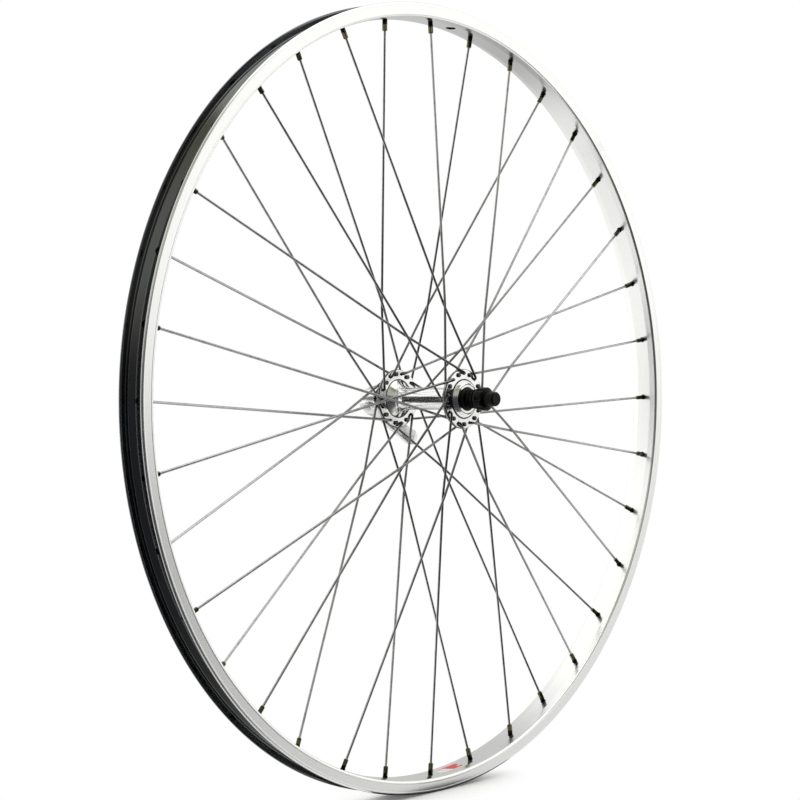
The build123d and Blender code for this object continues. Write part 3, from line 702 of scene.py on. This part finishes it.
# ------------------------------------------------------------------ threaded ends
def make_axle():
    """Hollow axle, threaded over its last 10 mm at each end and plain between."""
    major, depth, pitch, bore = 4.5, 0.55, 1.0, 2.6
    reach, threaded_from, chamfer = 54.0, 44.0, 0.6
    root_flat, flank, hair = 0.06, 0.34, 0.01
    bm = bmesh.new()
    steps = 72
    per_pitch = 14
    rows = round((reach - threaded_from) * per_pitch / pitch)
    heights = [-reach + (reach - threaded_from) * i / rows for i in range(rows + 1)]
    heights += [-h for h in reversed(heights)]
    rings = []
    for h in heights:
        ring = []
        for j in range(steps):
            a = math.tau * j / steps
            phase = (h / pitch + j / steps) % 1.0
            crest = min(1.0, max(0.0, (abs(phase - 0.5) - root_flat) / flank))
            radius = major - depth * (1.0 - crest)
            if abs(h) <= threaded_from + hair:
                radius = major - depth
            radius = min(radius, major - max(0.0, abs(h) - (reach - chamfer)))
            ring.append(bm.verts.new(around(radius, a, h)))
        rings.append(ring)
    bore_rings = []
    for h in (-reach, reach):
        bore_rings.append([bm.verts.new(around(bore, math.tau * j / steps, h)) for j in range(steps)])
    for i in range(len(rings) - 1):
        for j in range(steps):
            j2 = (j + 1) % steps
            bm.faces.new((rings[i][j], rings[i][j2], rings[i + 1][j2], rings[i + 1][j]))
    for j in range(steps):
        j2 = (j + 1) % steps
        bm.faces.new((bore_rings[0][j], bore_rings[0][j2], rings[0][j2], rings[0][j]))
        bm.faces.new((rings[-1][j], rings[-1][j2], bore_rings[1][j2], bore_rings[1][j]))
        bm.faces.new((bore_rings[0][j2], bore_rings[0][j], bore_rings[1][j], bore_rings[1][j2]))
    bmesh.ops.recalc_face_normals(bm, faces=bm.faces)
    mesh = bpy.data.meshes.new("axle_threaded")
    bm.to_mesh(mesh)
    bm.free()
    mesh.shade_smooth()
    mesh.set_sharp_from_angle(angle=math.radians(40.0))
    mesh.materials.append(looks["axle_steel"])
    obj = bpy.data.objects.new("axle_threaded", mesh)
    bpy.context.scene.collection.objects.link(obj)
    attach(obj, "axle_set")
    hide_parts("axle")


make_axle()


# ------------------------------------------------------------------ softened edges
# vertices closer than this, in mm, are joined first
WELD_GAP = 0.002


def soften(name, width, segments=3, angle=35.0):
    """Rounds the sharp edges of a CAD node for the render only."""
    weld = nodes[name].modifiers.new("weld", "WELD")
    weld.merge_threshold = WELD_GAP * MM
    bevel = nodes[name].modifiers.new("soft_edges", "BEVEL")
    bevel.width = width * MM
    bevel.segments = segments
    bevel.limit_method = "ANGLE"
    bevel.angle_limit = math.radians(angle)
    bevel.use_clamp_overlap = True
    bevel.harden_normals = True


for name, width in (
    ("cam_lever", 0.45),
    ("adjusting_nut", 0.25),
    ("locknut_left", 0.15),
    ("locknut_right", 0.15),
):
    soften(name, width)

# ------------------------------------------------------------------ studio
CAMERA_DIRECTION = Vector((-0.757, -0.653, 0.0)).normalized()
VIEW = -CAMERA_DIRECTION
RIGHT = Vector((VIEW.y, -VIEW.x, 0.0))
FLOOR_LEVEL = -0.3172
WHITE = rgb(1.0, 1.0, 1.0)

# brightness of the room as the bright metal mirrors it: all round, and how much lower
# straight ahead and underneath; on the right, low down, a share is taken off
AROUND_LEVEL = 1.15
AHEAD_DROP = 0.55
LOW_DROP = 0.27
RIGHT_LOW_SHARE = 0.30
# the camera's side of the room: degrees above the horizon, colour
CAMERA_SIDE_SHADES = [
    (-90.0, (0.70, 0.70, 0.68)),
    (-68.0, (0.50, 0.50, 0.48)),
    (-57.0, (0.15, 0.15, 0.14)),
    (-45.0, (0.085, 0.087, 0.090)),
    (-30.0, (0.064, 0.066, 0.070)),
    (-4.0, (0.066, 0.068, 0.073)),
    (8.0, (0.085, 0.085, 0.085)),
    (17.0, (0.34, 0.34, 0.30)),
    (24.0, (0.50, 0.51, 0.46)),
    (36.0, (0.50, 0.50, 0.46)),
    (48.0, (0.36, 0.36, 0.25)),
    (58.0, (0.20, 0.19, 0.10)),
    (66.0, (0.30, 0.30, 0.26)),
    (74.0, (1.00, 1.00, 0.98)),
]


def color_of_surround(t, rise, turn):
    """White all round, grey straight ahead, duller below and low on the right."""
    off_ahead = t.math("SUBTRACT", 180.0, t.math("ABSOLUTE", turn))
    ahead = t.ramp(off_ahead, 42.0, 6.0)
    ahead = t.math("MULTIPLY", ahead, t.ramp(rise, 70.0, 54.0))
    level = t.math("MULTIPLY_ADD", ahead, -AHEAD_DROP, AROUND_LEVEL)
    level = t.math("SUBTRACT", level, t.ramp(rise, -8.0, -60.0, 0.0, LOW_DROP))
    right_low = t.math("MULTIPLY", t.ramp(turn, 128.0, 112.0), t.ramp(turn, 60.0, 72.0))
    right_low = t.math("MULTIPLY", right_low, t.ramp(rise, 1.0, -1.8))
    right_low = t.math("MULTIPLY", right_low, t.ramp(rise, -34.0, -24.0))
    right_share = t.math("MULTIPLY_ADD", right_low, -RIGHT_LOW_SHARE, 1.0)
    level = t.math("MULTIPLY", level, right_share)
    blue = t.math("MULTIPLY", level, 0.985)
    return t.add("ShaderNodeCombineXYZ", {0: level, 1: level, 2: blue}).outputs[0]


def color_behind_camera(t, rise):
    """Shades of the camera's side of the room, by height above the horizon."""
    half_turn = 180.0
    shades = t.add("ShaderNodeValToRGB", {0: t.math("MULTIPLY_ADD", rise, 1.0 / half_turn, 0.5)})
    elements = shades.color_ramp.elements
    while len(elements) < len(CAMERA_SIDE_SHADES):
        elements.new(0.5)
    for element, (degrees, color) in zip(elements, CAMERA_SIDE_SHADES):
        element.position = degrees / half_turn + 0.5
        element.color = (*color, 1.0)
    return shades.outputs[0]


def make_world():
    """Studio surroundings for reflections; the camera itself sees plain white."""
    world = bpy.data.worlds.new("studio")
    bpy.context.scene.world = world
    world.use_nodes = True
    t = Nodes(world.node_tree)
    direction = t.add("ShaderNodeTexCoord").outputs["Generated"]
    to_degrees = 180.0 / math.pi
    toward_camera = t.dot(direction, tuple(CAMERA_DIRECTION))
    rightward = t.dot(direction, tuple(RIGHT))
    up = t.dot(direction, (0.0, 0.0, 1.0))
    rise = t.math("MULTIPLY", t.math("ARCSINE", up), to_degrees)
    # 0 towards the camera, positive to the right; +-180 straight ahead
    turn = t.math("MULTIPLY", t.math("ARCTAN2", rightward, toward_camera), to_degrees)
    # the dark side's right edge comes nearer to the camera high up and low down
    above = t.ramp(rise, -4.0, 1.0, 0.0, 12.0)
    below = t.ramp(rise, -24.0, -38.0, 0.0, 20.0)
    behind = t.ramp(t.math("ADD", turn, t.math("ADD", above, below)), 94.0, 88.0)
    behind = t.math("MULTIPLY", behind, t.ramp(turn, -56.0, -48.0))
    color = t.mix(behind, color_of_surround(t, rise, turn), color_behind_camera(t, rise))
    studio = t.add("ShaderNodeBackground", {"Color": color})
    plain = t.add("ShaderNodeBackground", {"Color": WHITE})
    is_camera = t.add("ShaderNodeLightPath").outputs["Is Camera Ray"]
    both = t.add("ShaderNodeMixShader", {0: is_camera, 1: studio, 2: plain})
    t.add("ShaderNodeOutputWorld", {"Surface": both})


make_world()


def make_plane(name, corners):
    """One four-cornered studio face."""
    mesh = bpy.data.meshes.new(name)
    mesh.from_pydata([tuple(p) for p in corners], [], [(0, 1, 2, 3)])
    plane = bpy.data.objects.new(name, mesh)
    bpy.context.scene.collection.objects.link(plane)
    return plane


def make_floor():
    """Pale floor that fades into the backdrop away from the wheel."""
    half_size = 6.0
    squeeze = 2.2
    fade_from, fade_to = 0.04, 0.12
    glow = 0.12
    signs = ((-1, -1), (1, -1), (1, 1), (-1, 1))
    floor = make_plane("floor", [(half_size * x, half_size * y, FLOOR_LEVEL) for x, y in signs])
    material, t = new_material("floor_pale")
    where = t.add("ShaderNodeTexCoord").outputs["Object"]
    split = t.add("ShaderNodeSeparateXYZ", {0: where})
    across = t.math("MULTIPLY", split.outputs[1], squeeze)
    square = t.math("MULTIPLY", split.outputs[0], split.outputs[0])
    distance = t.math("SQRT", t.math("MULTIPLY_ADD", across, across, square))
    fade = t.ramp(distance, fade_from, fade_to)
    diffuse = t.add("ShaderNodeBsdfDiffuse", {"Color": grey(0.94)})
    lift = t.add("ShaderNodeEmission", {"Color": WHITE, "Strength": glow})
    lit = t.add("ShaderNodeAddShader", {0: diffuse, 1: lift})
    plain = t.add("ShaderNodeEmission", {"Color": WHITE})
    seen = t.add("ShaderNodeMixShader", {0: fade, 1: lit, 2: plain})
    clear = t.add("ShaderNodeBsdfTransparent")
    is_camera = t.add("ShaderNodeLightPath").outputs["Is Camera Ray"]
    both = t.add("ShaderNodeMixShader", {0: is_camera, 1: clear, 2: seen})
    t.add("ShaderNodeOutputMaterial", {"Surface": both})
    floor.data.materials.append(material)


make_floor()


def make_flag(name, corners):
    """Black studio card, not in the picture itself, seen only in reflections."""
    flag = make_plane(name, corners)
    flag.visible_camera = False
    flag.visible_shadow = False
    flag.visible_diffuse = False
    material, t = new_material(name + "_black")
    finish_surface(t, grey(0.01), 0.9, 0.0)
    flag.data.materials.append(material)


# cards that keep the near side of the tyre channel and the rim's lowest edge dark; the floor card
# stands in for the contact shadow under the wheel, as a painted reflection
SIDE_CARD_DISTANCE = 0.45
CARD_LIFT = 0.0002
side_card = [(-0.13, -0.27), (0.0, -0.27), (0.0, 0.14), (-0.13, 0.14)]
side_middle = RIGHT * -SIDE_CARD_DISTANCE
make_flag("flag_side", [side_middle + VIEW * a + Vector((0.0, 0.0, z)) for a, z in side_card])
# painted shadow: black card on the floor where the wheel's contact shadow lies, seen only in
# reflections
contact_shadow_card = [(-0.075, -0.03), (0.11, -0.03), (0.11, 0.06), (-0.075, 0.06)]
make_flag("contact_shadow_flag", [Vector((x, y, FLOOR_LEVEL + CARD_LIFT)) for x, y in contact_shadow_card])


def place_facing_origin(name, data, location):
    """Links a light or camera that looks at the wheel centre."""
    obj = bpy.data.objects.new(name, data)
    bpy.context.scene.collection.objects.link(obj)
    obj.location = location
    obj.rotation_euler = (-obj.location).to_track_quat("-Z", "Y").to_euler()
    return obj


key = bpy.data.lights.new("soft_key", "AREA")
key.energy = 6.0
key.shape = "RECTANGLE"
key.size = 1.6
key.size_y = 1.2
place_facing_origin("soft_key", key, (0.3, -0.6, 1.9))

# ------------------------------------------------------------------ camera
camera = bpy.data.cameras.new("camera")
camera.lens = 89.0
camera.sensor_width = 36.0
camera.shift_x = -0.0369
camera.shift_y = -0.0016
camera.clip_start = 0.05
camera.clip_end = 50.0
bpy.context.scene.camera = place_facing_origin("camera", camera, (-1.2156, -1.0483, 0.0113))
bpy.context.scene.view_settings.view_transform = "Standard"
